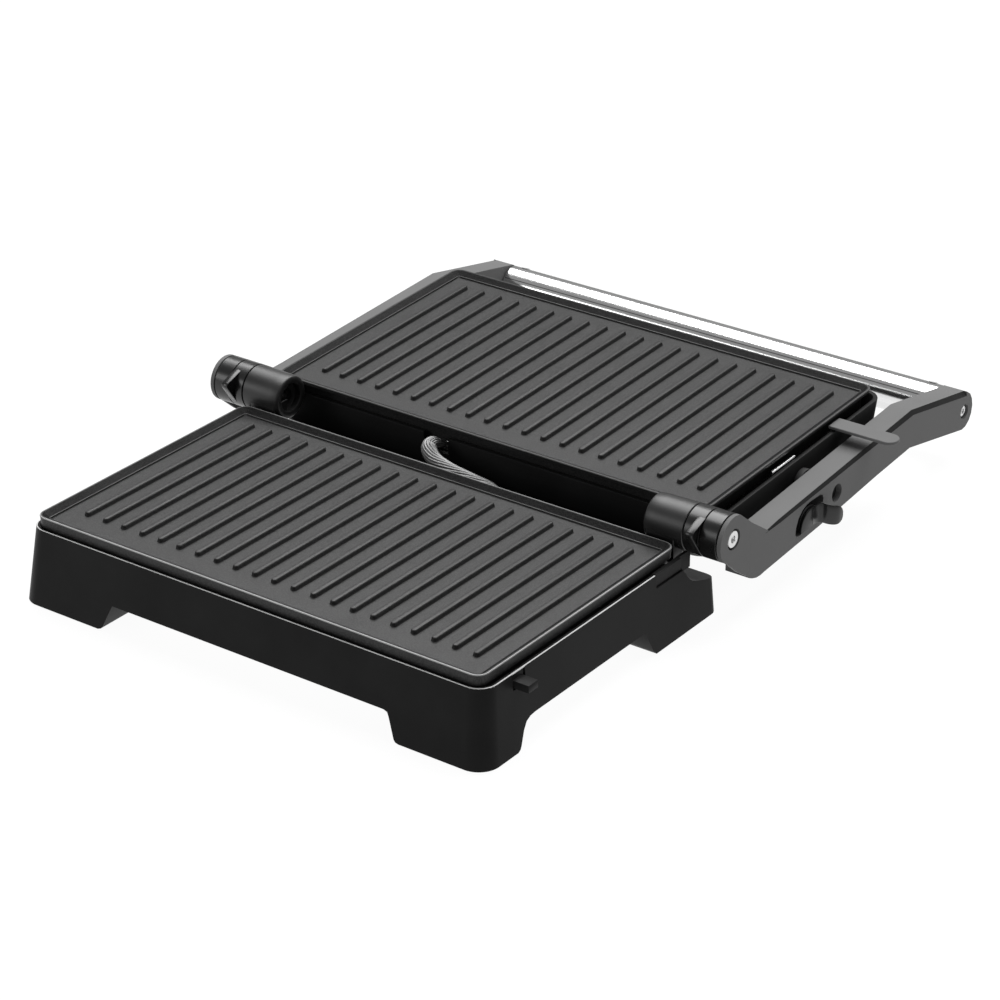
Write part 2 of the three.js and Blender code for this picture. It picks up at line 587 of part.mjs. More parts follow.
const lamp = (x) => turnedZ([[LID_BOTTOM_Z - 0.9, 0], [LID_BOTTOM_Z - 0.7, 1.8], [LID_BOTTOM_Z - 0.1, 3],
  [LID_BOTTOM_Z + 5, 3], [LID_BOTTOM_Z + 5, 0]], x, 52, 20);

function releaseTongue() {
  const y = UPPER_TONGUE_Y;
  const shape = new THREE.Shape();
  shape.moveTo(137.6, y - 5.4);
  shape.lineTo(170.5, y - 5.4);
  shape.absarc(170.5, y, 5.4, -Math.PI / 2, Math.PI / 2, false);
  shape.lineTo(137.6, y + 5.4);
  shape.closePath();
  return alongZ(shape, TONGUE_Z - 0.9, TONGUE_Z + 0.9, 0.3, 8);
}

// ---------- wiring conduit ----------
const CONDUIT_R = 4.2;
const GROMMET_X = 19;
const GROMMET_Z = 28.6;
const conduitRoute = [[-26.9, 172.3, 45], [-26.9, 168.6, 46.5], [-27.2, 164.4, 48], [-28, 160.8, 46.8],
  [-25.5, 158, 43.8], [-19.8, 155.8, 41], [-9.3, 154.6, 38.8], [3, 155.6, 36.4], [12.6, 158.4, 33],
  [18, 157.6, 29.6], [GROMMET_X, 153.4, GROMMET_Z], [GROMMET_X, 148.2, GROMMET_Z]];

function grommet() {
  const body = turnedZ([[0, 0], [0, 5.6], [4, 5.6], [4, 7], [6.2, 5.6], [6.2, 0]], 0, 0);
  return body.rotate([-90, 0, 0]).translate([GROMMET_X, 141.4, GROMMET_Z]);
}

const GLAND_X = -70;
const GLAND_Z = 25.6;

// Strain relief that the mains cord would leave through.
function cordGland() {
  const body = turnedZ([[0, 0], [0, 4.9], [3.6, 4.9], [3.6, 7.4], [5.6, 7.4], [6.4, 6.2], [19, 4.6], [19.6, 4],
    [19.6, 0]], 0, 0);
  const bore = turnedZ([[-1, 0], [-1, 3.3], [22, 3.3], [22, 0]], 0, 0);
  return cut(body, bore).rotate([-90, 0, 0]).translate([GLAND_X, 141.4, GLAND_Z]);
}

// ---------- assembly ----------
place("base_housing", baseHousing(), FINISH.blackPlastic);
place("base_underside_cover", undersideCover(), FINISH.sheetSteel);
FOOT_PLACES.forEach(([x, y], i) => {
  const pad = turnedZ([[0, 0], [0, 9.2], [0.8, 10], [3.1, 10], [3.1, 0]], x, y);
  place(`rubber_foot_${i + 1}`, pad, FINISH.rubber);
});
[[-74, 14], [74, 14], [-74, 132], [74, 132]].forEach(([x, y], i) => {
  const top = COVER_Z - COVER_T - GAP;
  const head = turnedZ([[top - 1.8, 0], [top - 1.8, 2.4], [top - 0.8, 3.3], [top, 3.3], [top, 0]], x, y, 16);
  const cross = join(box(x - 2, x + 2, y - 0.4, y + 0.4, top - 2.4, top - 0.9),
    box(x - 0.4, x + 0.4, y - 2, y + 2, top - 2.4, top - 0.9));
  place(`cover_screw_${i + 1}`, cut(head, cross), FINISH.steel);
});
placePair("hinge_pedestal", pedestal(), FINISH.satinBlack);
place("lower_reflector_pan", reflectorPan(128, -10, 131, 21, 33.5), FINISH.sheetSteel);
place("lower_heating_element", heatingElement(LOWER_FRONT_Y, LOWER_BACK_Y, 31.4), FINISH.element);
place("lower_grill_plate", lowerPlate(), FINISH.nonStick);
place("lower_thermostat", turnedZ([[33, 0], [33, 9], [36.6, 9], [36.6, 12], [39.6, 12], [39.6, 0]], 0, 62),
  FINISH.ceramic);
place("terminal_block", box(-92, -52, 131.8, 139.9, COVER_Z + GAP, 30), FINISH.ceramic);
place("lower_plate_release", releaseButton(), FINISH.blackPlastic);
place("conduit_grommet", grommet(), FINISH.rubber);
place("mains_cord_gland", cordGland(), FINISH.rubber);

place("arm_right", arm(true), FINISH.greyPaint);
place("arm_left", mirrored(arm(false)), FINISH.greyPaint);
placePair("stop_collar", stopCollar(), FINISH.satinBlack);
placePair("hinge_barrel", hingeBarrel(), FINISH.satinBlack);
placePair("hinge_pin", hingePin, FINISH.steel);
placePair("hinge_screw", hingeScrew, FINISH.steel);
place("handle_tube", handleTube(), FINISH.handleMetal);
placePair("handle_plug", handlePlug, FINISH.satinBlack);
placePair("handle_screw", handleScrew, FINISH.steel);
place("hinge_release_lever", releaseLever(), FINISH.satinBlack);
place("release_lever_pin", rodX(ARM_IN + 0.4, ARM_OUT - 1.4, LEVER_Y, LEVER_Z, LEVER_PIN_R, 16), FINISH.steel);

place("lid_shell", lidShell(), FINISH.blackPlastic, lid);
place("upper_grill_plate", upperPlate(), FINISH.nonStick, lid);
place("upper_reflector_pan", reflectorPan(128, -74, 74, -6, 6.5), FINISH.sheetSteel, lid);
place("upper_heating_element", heatingElement(UPPER_NEAR_Y, UPPER_FAR_Y, 4.4), FINISH.element, lid);
place("upper_thermostat", turnedZ([[5.4, 0], [5.4, 9], [9, 9], [9, 12], [12.6, 12], [12.6, 0]], 0, 0),
  FINISH.ceramic, lid);
place("upper_plate_clip", box(137.5, 138.6, -22.4, -0.5, 10.6, 14.6), FINISH.steel, lid);
place("upper_plate_release", releaseTongue(), FINISH.greyPaint, lid);
placePair("lid_pivot_pin", lidPivotPin, FINISH.steel, lid);
place("wiring_conduit", barAlong(conduitRoute, CONDUIT_R, 30, 8), FINISH.steel);
place("power_lamp", lamp(-9), FINISH.redLens, lid);
place("ready_lamp", lamp(9), FINISH.greenLens, lid);

// Origin at the middle of the bounding box's bottom.
press.updateMatrixWorld(true);
const bounds = new THREE.Box3().setFromObject(press, true);
const centre = bounds.getCenter(new THREE.Vector3());
press.position.set(-centre.x, -centre.y, -bounds.min.z);
const panini_press = new THREE.Group();
panini_press.add(press);

export default panini_press;
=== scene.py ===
"""Looks of the panini press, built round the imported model. Lengths are in millimetres in the
press frame, which TO_ROW turns into metres in the row frame: x = 0 is the middle between the arms,
y = 0 is the front end of the lower ribs and z = 0 is the table. Pieces of the lid are drawn in the
lid's own frame, which is tilted about the line on which the lid hangs between the arms."""
import json
import math

import bmesh
import bpy
from mathutils import Matrix, Vector


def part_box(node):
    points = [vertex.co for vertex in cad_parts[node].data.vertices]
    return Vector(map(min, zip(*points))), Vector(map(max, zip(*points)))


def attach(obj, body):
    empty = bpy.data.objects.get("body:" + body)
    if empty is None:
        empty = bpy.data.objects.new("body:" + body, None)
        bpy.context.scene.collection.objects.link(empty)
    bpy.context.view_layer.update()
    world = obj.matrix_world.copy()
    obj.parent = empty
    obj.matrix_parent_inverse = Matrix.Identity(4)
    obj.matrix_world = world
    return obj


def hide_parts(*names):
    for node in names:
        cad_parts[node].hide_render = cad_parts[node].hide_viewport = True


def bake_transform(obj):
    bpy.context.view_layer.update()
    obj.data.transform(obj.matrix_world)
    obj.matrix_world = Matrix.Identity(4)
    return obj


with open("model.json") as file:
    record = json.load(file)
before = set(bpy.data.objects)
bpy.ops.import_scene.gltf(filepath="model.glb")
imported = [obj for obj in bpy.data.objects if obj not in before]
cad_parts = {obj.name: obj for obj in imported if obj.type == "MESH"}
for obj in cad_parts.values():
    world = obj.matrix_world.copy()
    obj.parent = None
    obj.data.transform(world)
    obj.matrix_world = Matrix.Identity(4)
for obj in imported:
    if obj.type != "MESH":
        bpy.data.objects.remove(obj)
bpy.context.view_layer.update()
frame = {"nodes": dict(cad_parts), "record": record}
NODES = frame["nodes"]
MM = 0.001

# ---------- the press frame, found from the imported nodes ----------
PLATE_FRONT = -18.5  # the lower plate's front edge, in the press frame
plate_low, plate_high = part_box("lower_grill_plate")
MID_X = (plate_low.x + plate_high.x) / 2 / MM
SHIFT_Y = plate_low.y / MM - PLATE_FRONT
TO_ROW = Matrix.Scale(MM, 4) @ Matrix.Translation((MID_X, SHIFT_Y, 0))


def to_row(x, y, z):
    return TO_ROW @ Vector((x, y, z))


# Dimensions shared with the CAD model.
AX_Y, AX_Z = 155.6, 51.1
BARREL_R = 12.5
PEDESTAL_IN, PEDESTAL_OUT, COLLAR_OUT = 116.0, 139.3, 148.8
ARM_IN, ARM_OUT, ARM_LEAN = 147.4, 161.3, 0.0117
CHEEK_IN = 159.1
HANDLE_Y, HANDLE_Z, HANDLE_R = 394.2, 28.2, 10.9
PIVOT_Y, PIVOT_Z = 250.4, 38.8
LID_TILT = math.radians(2.2)
LID_TO_PRESS = Matrix.Translation((0, PIVOT_Y, PIVOT_Z)) @ Matrix.Rotation(LID_TILT, 4, "X")
PLATE_HW = 137.2  # half width
RIB_COUNT, RIB_PITCH, RIB_LENGTH, RIB_W, RIB_H = 21, 12.0, 129.2, 3.6, 2.1
LEVER_Y, LEVER_Z = 228.2, 30.8

# ---------- camera ----------
CAMERA_AT = (882.0, -1026.0, 767.9)
CAMERA_AZIMUTH = math.radians(36.08)
CAMERA_ELEVATION = math.radians(26.75)
SENSOR_MM = 36.0
FOCAL_IN_WIDTHS = 3.208  # focal length over the picture's width


def add_camera():
    data = bpy.data.cameras.new("camera")
    data.sensor_width = SENSOR_MM
    data.lens = FOCAL_IN_WIDTHS * SENSOR_MM
    data.clip_start = 0.05
    data.clip_end = 20.0
    camera = bpy.data.objects.new("camera", data)
    bpy.context.scene.collection.objects.link(camera)
    a, e = CAMERA_AZIMUTH, CAMERA_ELEVATION
    back = Vector((math.sin(a) * math.cos(e), -math.cos(a) * math.cos(e), math.sin(e)))
    right = Vector((math.cos(a), math.sin(a), 0.0))
    up = back.cross(right)
    turn = Matrix((right, up, back)).transposed().to_4x4()
    camera.matrix_world = Matrix.Translation(to_row(*CAMERA_AT)) @ turn
    bpy.context.scene.camera = camera


add_camera()


# ---------- materials ----------
def new_material(name, color, roughness, metallic=0.0, **sockets):
    material = bpy.data.materials.new(name)
    material.use_nodes = True
    shader = material.node_tree.nodes["Principled BSDF"]
    shader.inputs["Base Color"].default_value = (*color, 1.0)
    shader.inputs["Roughness"].default_value = roughness
    shader.inputs["Metallic"].default_value = metallic
    for key, value in sockets.items():
        shader.inputs[key.replace("_", " ")].default_value = value
    return material


def noise(material, scale, detail=4.0, stretch=(1, 1, 1)):
    """Noise in object space, in cycles per metre."""
    nodes, links = material.node_tree.nodes, material.node_tree.links
    place = nodes.new("ShaderNodeTexCoord")
    mapping = nodes.new("ShaderNodeMapping")
    mapping.inputs["Scale"].default_value = stretch
    texture = nodes.new("ShaderNodeTexNoise")
    texture.inputs["Scale"].default_value = scale
    texture.inputs["Detail"].default_value = detail
    links.new(place.outputs["Object"], mapping.inputs["Vector"])
    links.new(mapping.outputs["Vector"], texture.inputs["Vector"])
    return texture.outputs["Fac"]


def ramp(material, value, low, high, start=0.3, end=0.7):
    """A colour between low and high as value goes from start to end."""
    nodes, links = material.node_tree.nodes, material.node_tree.links
    node = nodes.new("ShaderNodeValToRGB")
    node.color_ramp.elements[0].position = start
    node.color_ramp.elements[1].position = end
    node.color_ramp.elements[0].color = (*low, 1.0)
    node.color_ramp.elements[1].color = (*high, 1.0)
    links.new(value, node.inputs["Fac"])
    return node.outputs["Color"]


def spread(material, value, low, high):
    """A number between low and high as value goes from 0.3 to 0.7."""
    nodes, links = material.node_tree.nodes, material.node_tree.links
    node = nodes.new("ShaderNodeMapRange")
    node.inputs["From Min"].default_value = 0.3
    node.inputs["From Max"].default_value = 0.7
    node.inputs["To Min"].default_value = low
    node.inputs["To Max"].default_value = high
    links.new(value, node.inputs["Value"])
    return node.outputs["Result"]


def bump(material, height, strength, distance):
    nodes, links = material.node_tree.nodes, material.node_tree.links
    node = nodes.new("ShaderNodeBump")
    node.inputs["Strength"].default_value = strength
    node.inputs["Distance"].default_value = distance
    links.new(height, node.inputs["Height"])
    links.new(node.outputs["Normal"], nodes["Principled BSDF"].inputs["Normal"])


def drive(material, socket, output):
    tree = material.node_tree
    tree.links.new(output, tree.nodes["Principled BSDF"].inputs[socket])


def moulded(name, low, high, rough_low, rough_high, grain=900.0, depth=0.00002, metallic=0.0,
            **sockets):
    """Moulded or painted surface: faint mottling, uneven gloss and a fine grain."""
    material = new_material(name, low, rough_low, metallic, **sockets)
    mottle = noise(material, 35.0)
    fine = noise(material, grain, 2.0)
    drive(material, "Base Color", ramp(material, mottle, low, high))
    drive(material, "Roughness", spread(material, mottle, rough_low, rough_high))
    bump(material, fine, 0.35, depth)
    return material


def non_stick(name, low, high, level=0.22):
    """Sprayed non-stick coat: a fine speckle of light and dark grains, with uneven gloss."""
    material = new_material(name, low, 0.5, Specular_IOR_Level=level)
    speckle = noise(material, 1500.0, 1.0)
    drive(material, "Base Color", ramp(material, speckle, low, high, 0.32, 0.72))
    drive(material, "Roughness", spread(material, noise(material, 60.0), 0.36, 0.5))
    bump(material, speckle, 0.6, 0.00008)
    return material


def brushed(name, low, high, rough_low, rough_high, stretch):
    """Drawn or brushed metal. Its fine lines run along the smallest number in stretch."""
    material = new_material(name, low, rough_low, 1.0)
    lines = noise(material, 900.0, 3.0, stretch)
    drive(material, "Base Color", ramp(material, lines, low, high))
    drive(material, "Roughness", spread(material, lines, rough_low, rough_high))
    bump(material, lines, 0.15, 0.00001)
    return material


def grey(value):
    return (value, value, value)


MATERIALS = {
    "black_plastic": moulded("black_plastic", grey(0.010), grey(0.014), 0.36, 0.42, 900.0, 0.000010,
                             Specular_IOR_Level=0.05),
    "satin_black": moulded("satin_black", grey(0.004), grey(0.006), 0.26, 0.32, 900.0, 0.000012,
                           Specular_IOR_Level=0.5),
    "barrel_black": moulded("barrel_black", grey(0.006), grey(0.009), 0.36, 0.44, 1400.0, 0.00004,
                            Specular_IOR_Level=0.5),
    "grey_paint": moulded("grey_paint", grey(0.115), grey(0.125), 0.4, 0.48, 1600.0, 0.00002,
                          Specular_IOR_Level=0.04),
    # Near-black: painted shade in the arms' chamfers, and the colour of the dark line along the
    # handle.
    "painted_shade_and_dark_line": moulded("painted_shade_and_dark_line", grey(0.012), grey(0.018), 0.4, 0.48, 1600.0, 0.00002,
                         Specular_IOR_Level=0.1),
    # Light grey that paints the highlight along the housing's rim edge.
    "painted_highlight_edge": moulded("painted_highlight_edge", grey(0.5), grey(0.56), 0.3, 0.36, 900.0, 0.00001),
    # Lighter grey that paints the highlight along the lower plate's rim.
    "painted_rim_highlight": moulded("painted_rim_highlight", grey(0.16), grey(0.22), 0.35, 0.42, 900.0, 0.00001),
    # Grey a little lighter than the coat: a soft painted highlight along the upper plate's rim.
    "soft_painted_highlight": moulded("soft_painted_highlight", grey(0.04), grey(0.06), 0.4, 0.5, 900.0, 0.00001,
                         Specular_IOR_Level=0.15),
    "wire_sleeve": moulded("wire_sleeve", grey(0.1), grey(0.2), 0.42, 0.5, 2500.0, 0.00003, 0.6),
    "non_stick": non_stick("non_stick", grey(0.009), grey(0.03)),
    # Darker, duller copy of the non-stick coat: painted shade on the slope inside the plates' rims.
    "painted_shade_slope": non_stick("painted_shade_slope", grey(0.004), grey(0.018), 0.04),
    "rubber": moulded("rubber", grey(0.012), grey(0.02), 0.75, 0.9, 500.0, 0.00005),
    "ceramic": moulded("ceramic", (0.6, 0.57, 0.5), (0.7, 0.67, 0.6), 0.6, 0.75),
    "element": moulded("element", (0.08, 0.075, 0.07), (0.14, 0.12, 0.1), 0.4, 0.6, metallic=0.8),
    "red_lens": moulded("red_lens", (0.35, 0.01, 0.008), (0.42, 0.015, 0.01), 0.08, 0.14),
    "green_lens": moulded("green_lens", (0.01, 0.25, 0.05), (0.015, 0.3, 0.06), 0.08, 0.14),
    "steel": brushed("steel", grey(0.6), grey(0.7), 0.18, 0.28, (1, 1, 1)),
    "handle_metal": brushed("handle_metal", grey(0.76), grey(0.8), 0.12, 0.18, (0.03, 1, 1)),
    "sheet_steel": brushed("sheet_steel", grey(0.45), grey(0.52), 0.3, 0.42, (0.03, 1, 1)),
    "reflector": brushed("reflector", grey(0.6), grey(0.68), 0.2, 0.35, (0.03, 1, 1)),
}
SLOT_OF = {entry["node"]: entry["material_slot"] for entry in frame["record"]["subparts"]}


# ---------- mesh building ----------
def as_mesh(name, bm, matrix=None):
    """Turns a bmesh into a mesh. Its lengths are millimetres of the press frame, or of the frame
    that matrix turns into the press frame."""
    bmesh.ops.remove_doubles(bm, verts=bm.verts, dist=0.001)
    bmesh.ops.recalc_face_normals(bm, faces=bm.faces)
    mesh = bpy.data.meshes.new(name)
    bm.to_mesh(mesh)
    bm.free()
    mesh.transform(TO_ROW @ (matrix or Matrix.Identity(4)))
    return mesh


def bevel_edges(obj, width, angle, segments=3):
    edge = obj.modifiers.new("edge", "BEVEL")
    edge.width = width * MM
    edge.segments = segments
    edge.limit_method = "ANGLE"
    edge.angle_limit = math.radians(angle)
    edge.harden_normals = True


def smooth(mesh):
    for polygon in mesh.polygons:
        polygon.use_smooth = True


def piece(name, bm, slot, body, replaced=(), matrix=None, bevel=0.0, angle=30, look=None):
    """Finished piece. It looks like its slot's material, unless look names another one."""
    mesh = as_mesh(name, bm, matrix)
    smooth(mesh)
    obj = bpy.data.objects.new(name, mesh)
    bpy.context.scene.collection.objects.link(obj)
    mesh.materials.append(MATERIALS[look or slot])
    if bevel:
        bevel_edges(obj, bevel, angle)
    else:
        mesh.set_sharp_from_angle(angle=math.radians(angle))
    if replaced:
        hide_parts(*replaced)
    if body:
        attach(obj, body)
    return obj


def bridge(bm, low, high):
    """Faces between two rings with the same number of points."""
    count = len(low)
    for i in range(count):
        j = (i + 1) % count
        bm.faces.new((low[i], low[j], high[j], high[i]))


def loft(bm, rings, close_first=True, close_last=True):
    """A skin through closed rings of points."""
    made = [[bm.verts.new(p) for p in ring] for ring in rings]
    for low, high in zip(made, made[1:]):
        bridge(bm, low, high)
    if close_first:
        bm.faces.new(list(reversed(made[0])))
    if close_last:
        bm.faces.new(made[-1])
    return made


def rounded(hw, y0, y1, radius, z, steps=8, far_radius=None):
    """Ring for a rectangle with round corners. far_radius is for the corners at y1, and z may be
    a function of y."""
    far = radius if far_radius is None else far_radius
    height = z if callable(z) else (lambda y: z)
    corners = (
        (hw - far, y1 - far, 0, far), (-hw + far, y1 - far, 1, far),
        (-hw + radius, y0 + radius, 2, radius), (hw - radius, y0 + radius, 3, radius),
    )
    ring = []
    for cx, cy, quarter, r in corners:
        for i in range(steps + 1):
            turn = (quarter + i / steps) * math.pi / 2
            y = cy + r * math.sin(turn)
            ring.append((cx + r * math.cos(turn), y, height(y)))
    return ring


def circle(cx, cy, radius, count):
    turns = (2 * math.pi * i / count for i in range(count))
    return [(cx + radius * math.cos(turn), cy + radius * math.sin(turn)) for turn in turns]


def turned(bm, profile, y, z, segments=64, closed=False):
    """Skin turned about a line along X through (y, z). The profile gives (x, radius)."""
    rings = [[(x, py, pz) for py, pz in circle(y, z, r, segments)] for x, r in profile]
    if closed:
        rings.append(rings[0])
    loft(bm, rings, not closed, not closed)


def upright(bm, outline, z0, z1):
    """Body along Z from an outline of (x, y) points."""
    loft(bm, [[(x, y, z0) for x, y in outline], [(x, y, z1) for x, y in outline]])


def prism(bm, outline, x0, x1):
    """Body along X from an outline of (y, z) points."""
    loft(bm, [[(x0, y, z) for y, z in outline], [(x1, y, z) for y, z in outline]])


def frame_ring(bm, hw, y0, y1, radius, profile):
    """Closed band that follows a rectangle with round corners. The profile gives (inset, z) round
    the band's section."""
    rings = [rounded(hw - inset, y0 + inset, y1 - inset, radius - inset, z)
             for inset, z in profile]
    loft(bm, rings + rings[:1], False, False)


def front_strip(bm, hw, y0, y_end, radius, profile):
    """Band round the front of a rectangle with round corners, and along both sides to y_end."""
    lines = []
    for inset, z in profile:
        ring = rounded(hw - inset, y0 + inset, y_end + 4 * radius, radius - inset, z)
        lines.append([(inset - hw, y_end, z)] + ring[len(ring) // 2:] + [(hw - inset, y_end, z)])
    loft(bm, list(zip(*lines)))


def mirror_x(bm):
    for vert in bm.verts:
        vert.co.x = -vert.co.x


def both_sides(name, build, slot, body, replaces_node=False, **options):
    """The same piece on the right and, mirrored, on the left. build makes it on the right."""
    for side in ("right", "left"):
        bm = bmesh.new()
        build(bm)
        if side == "left":
            mirror_x(bm)
        replaced = [f"{name}_{side}"] if replaces_node else ()
        piece(f"{name}_{side}_visual", bm, slot, body, replaced, **options)


# ---------- grill plates ----------
def add_rib(bm, x, y0, y1, floor_z):
    """Low rib with a flat, rounded top and drafted sides and ends."""
    half, top = RIB_W / 2, floor_z + RIB_H
    levels = ((half + 0.35, floor_z - 0.3), (half, floor_z + 0.35), (half - 0.25, top - 0.55),
              (half - 0.62, top - 0.12), (half - 1.1, top))
    rings = []
    for r, z in levels:
        ring = []
        for end_y, start in ((y1 - half, 0.0), (y0 + half, math.pi)):
            for i in range(13):
                turn = start + math.pi * i / 12
                ring.append((x + r * math.cos(turn), end_y + r * math.sin(turn), z))
        rings.append(ring)
    loft(bm, rings, False, True)


# The front and rear edge of each plate, the heights of its floor and rim.
LOWER_PLATE = (PLATE_FRONT, 142.0, 43.5, 46.7)
UPPER_PLATE = (-80.6, 81.2, 16.5, 19.4)


def add_plate(bm, edges, rib_y, lip_z, skirt_z, end_inset, side_inset):
    """Cast plate: a skirt set back under a lip, a rounded rim, and the ribbed floor inside it."""
    y0, y1, floor_z, rim_z = edges
    hw = PLATE_HW
    rings = [rounded(hw - side_inset, y0 + end_inset, y1 - end_inset, 5, z)
             for z in (skirt_z, lip_z + 2.1)]
    for inset, radius, z in ((0.5, 5.5, lip_z + 2.5), (0.1, 5.9, rim_z - 0.35),
                             (0.4, 5.6, rim_z - 0.05), (1.3, 5.0, rim_z - 0.05),
                             (1.7, 4.7, rim_z - 0.5), (4.9, 2.4, floor_z + 0.4),
                             (5.2, 2.2, floor_z)):
        rings.append(rounded(hw - inset, y0 + inset, y1 - inset, radius, z))
    loft(bm, rings)
    for i in range(RIB_COUNT):
        x = (i - (RIB_COUNT - 1) / 2) * RIB_PITCH
        add_rib(bm, x, rib_y, rib_y + RIB_LENGTH, floor_z)


bm = bmesh.new()
add_plate(bm, LOWER_PLATE, 0.0, 38.5, 36.4, 1.5, 2.6)
piece("lower_plate_visual", bm, "non_stick", "base", ["lower_grill_plate"], angle=25)

bm = bmesh.new()
add_plate(bm, UPPER_PLATE, -62.1, 14.7, 8.6, 3.4, 3.9)
piece("upper_plate_visual", bm, "non_stick", "lid", ["upper_grill_plate"], matrix=LID_TO_PRESS,
      angle=25)


def plate_trims(name, edges, body, matrix, rim_highlight_look):
    """Thin bands on a plate: painted shade on the slope inside the rim, a painted highlight along
    the rim and the fine line where the slope meets the floor."""
    y0, y1, floor_z, rim_z = edges
    bands = (
        ("painted_shade_slope", "painted_shade_slope", [(1.35, rim_z), (4.75, floor_z + 0.85), (4.75, floor_z + 0.3),
                              (1.35, rim_z - 0.6)]),
        ("rim_line", rim_highlight_look, [(0.0, rim_z - 0.45), (0.22, rim_z - 0.05), (0.7, rim_z),
                                 (0.7, rim_z - 0.4), (0.2, rim_z - 0.6)]),
        ("floor_line", "non_stick", [(4.5, floor_z + 0.7), (4.6, floor_z + 1.0),
                                     (5.0, floor_z + 0.9), (5.1, floor_z + 0.3),
                                     (4.6, floor_z + 0.2)]),
    )
    for band, look, profile in bands:
        bm = bmesh.new()
        frame_ring(bm, PLATE_HW, y0, y1, 6, profile)
        piece(f"{name}_{band}_visual", bm, "non_stick", body, matrix=matrix, look=look)


# The rim lines of both plates carry a painted highlight.
plate_trims("lower_plate", LOWER_PLATE, "base", None, "painted_rim_highlight")
plate_trims("upper_plate", UPPER_PLATE, "lid", LID_TO_PRESS, "soft_painted_highlight")


# ---------- hinge ----------
def fixed_barrel(bm):
    """Fixed barrel, slimmer at its inner end, which has a shallow pocket with a ring in it."""
    inner, outer, r = PEDESTAL_IN, PEDESTAL_OUT, BARREL_R
    turned(bm, [
        (outer - 0.2, 3.0), (outer - 0.2, r - 1.0), (outer - 0.1, r - 0.4), (outer - 0.45, r),
        (inner + 6, r - 0.35), (inner + 1.1, r - 0.6), (inner + 0.35, r - 0.9), (inner, r - 1.6),
        (inner, 8.2), (inner + 0.3, 7.8), (inner + 3.6, 7.6), (inner + 3.8, 7.3),
        (inner + 3.8, 6.0), (inner + 3.2, 5.8), (inner + 3.2, 4.4), (inner + 5.6, 4.2),
        (inner + 5.6, 3.0),
    ], AX_Y, AX_Z, 72, closed=True)


def hollow_barrel(bm, start, end, round_start, round_end, lip):
    """Barrel of the hinge with a bore; its edges are rounded over a length of lip."""
    bore = 4.5
    turned(bm, [(start, bore), (start, BARREL_R - round_start), (start + lip, BARREL_R),
                (end - lip, BARREL_R), (end, BARREL_R - round_end), (end, bore)],
           AX_Y, AX_Z, 72, closed=True)


def moving_barrel(bm):
    hollow_barrel(bm, COLLAR_OUT + 0.25, CHEEK_IN - 0.5, 0.5, 0.4, 0.35)


def stop_ring(bm):
    hollow_barrel(bm, PEDESTAL_OUT + 0.3, COLLAR_OUT, 0.45, 0.45, 0.3)


FIN = [(151.4, 61.8), (149.6, 61.9), (138.4, 57.9), (137.5, 57.1), (137.3, 55.9), (137.9, 54.6),
       (145.2, 44.0), (147.6, 43.2), (152.0, 46.0), (153.0, 56.0)]
FIN_IN = 144.7


def shrinker(outline):
    """Gives a function that returns the outline at an x, scaled about its mean point."""
    mid_y = sum(y for y, z in outline) / len(outline)
    mid_z = sum(z for y, z in outline) / len(outline)

    def ring(x, scale):
        return [(x, mid_y + (y - mid_y) * scale, mid_z + (z - mid_z) * scale) for y, z in outline]

    return ring


def stop_fin(bm):
    """Triangular fin on the stop collar, with a raised border round a sunk outer face."""
    outside, sunk = COLLAR_OUT - 0.05, COLLAR_OUT - 1.3
    ring = shrinker(FIN)
    loft(bm, [ring(FIN_IN, 0.98), ring(FIN_IN + 0.3, 1.0), ring(outside - 0.35, 1.0),
              ring(outside, 0.965), ring(outside, 0.82), ring(sunk, 0.76)])


both_sides("hinge_pedestal", fixed_barrel, "satin_black", "base", True, angle=45,
           look="barrel_black")
both_sides("hinge_barrel", moving_barrel, "satin_black", "arms", True, angle=45)
both_sides("stop_collar", stop_ring, "satin_black", "arms", True, angle=45)
both_sides("stop_fin", stop_fin, "satin_black", "arms", angle=45)


# ---------- arms ----------
# Outlines of (y, z) points.
ARM_TOP = [(188.1, 42.6), (335.0, 51.4), (395.8, 39.6)]
ARM_END = [(399.8, 36.9), (402.2, 33.2), (403.2, 28.9), (402.4, 24.2), (400.2, 20.8), (396.6, 18.5),
           (392.6, 18.0)]
ARM_UNDER = [(333.0, 30.6), (297.0, 28.3), (239.5, 23.5)]
ARM_HEEL = [(186.0, 20.4), (182.4, 20.0), (178.4, 20.3), (174.4, 21.6)]
WINDOW = [(215.4, 28.4), (215.9, 32.2), (218.0, 36.6), (221.6, 39.8), (226.2, 41.3), (231.0, 41.6),
          (237.0, 41.4), (239.2, 41.4), (241.4, 40.4), (242.5, 38.2), (242.0, 36.0), (240.6, 34.4),
          (236.0, 27.4), (218.4, 26.2), (216.4, 26.7)]
# Chamfer along the outer top edge: (y, z of the edge, width, drop). It deepens towards the handle.
CHAMFER = [(186.0, 42.5, 0.5, 0.7), (200.0, 43.4, 1.1, 1.5), (335.0, 51.4, 1.6, 2.4),
           (395.8, 39.6, 1.8, 2.6)]
NOSE_R = 12.45
NOSE_FROM, NOSE_TO = math.radians(-114), math.radians(61)
BAR_START = 171.5
SCREW_HOLE_R, END_HOLE_R = 5.6, 4.2
PORT_Y, PORT_Z, PORT_R = 256.1, 35.4, 4.9  # blind hole in the arm's outer face


def leaning(y):
    return ARM_LEAN * (y - AX_Y)


def add_solid(bm, outline, x0, x1):
    """Prism along X whose faces lean with the arm."""
    loft(bm, [[(x - leaning(y), y, z) for y, z in outline] for x in (x0, x1)])


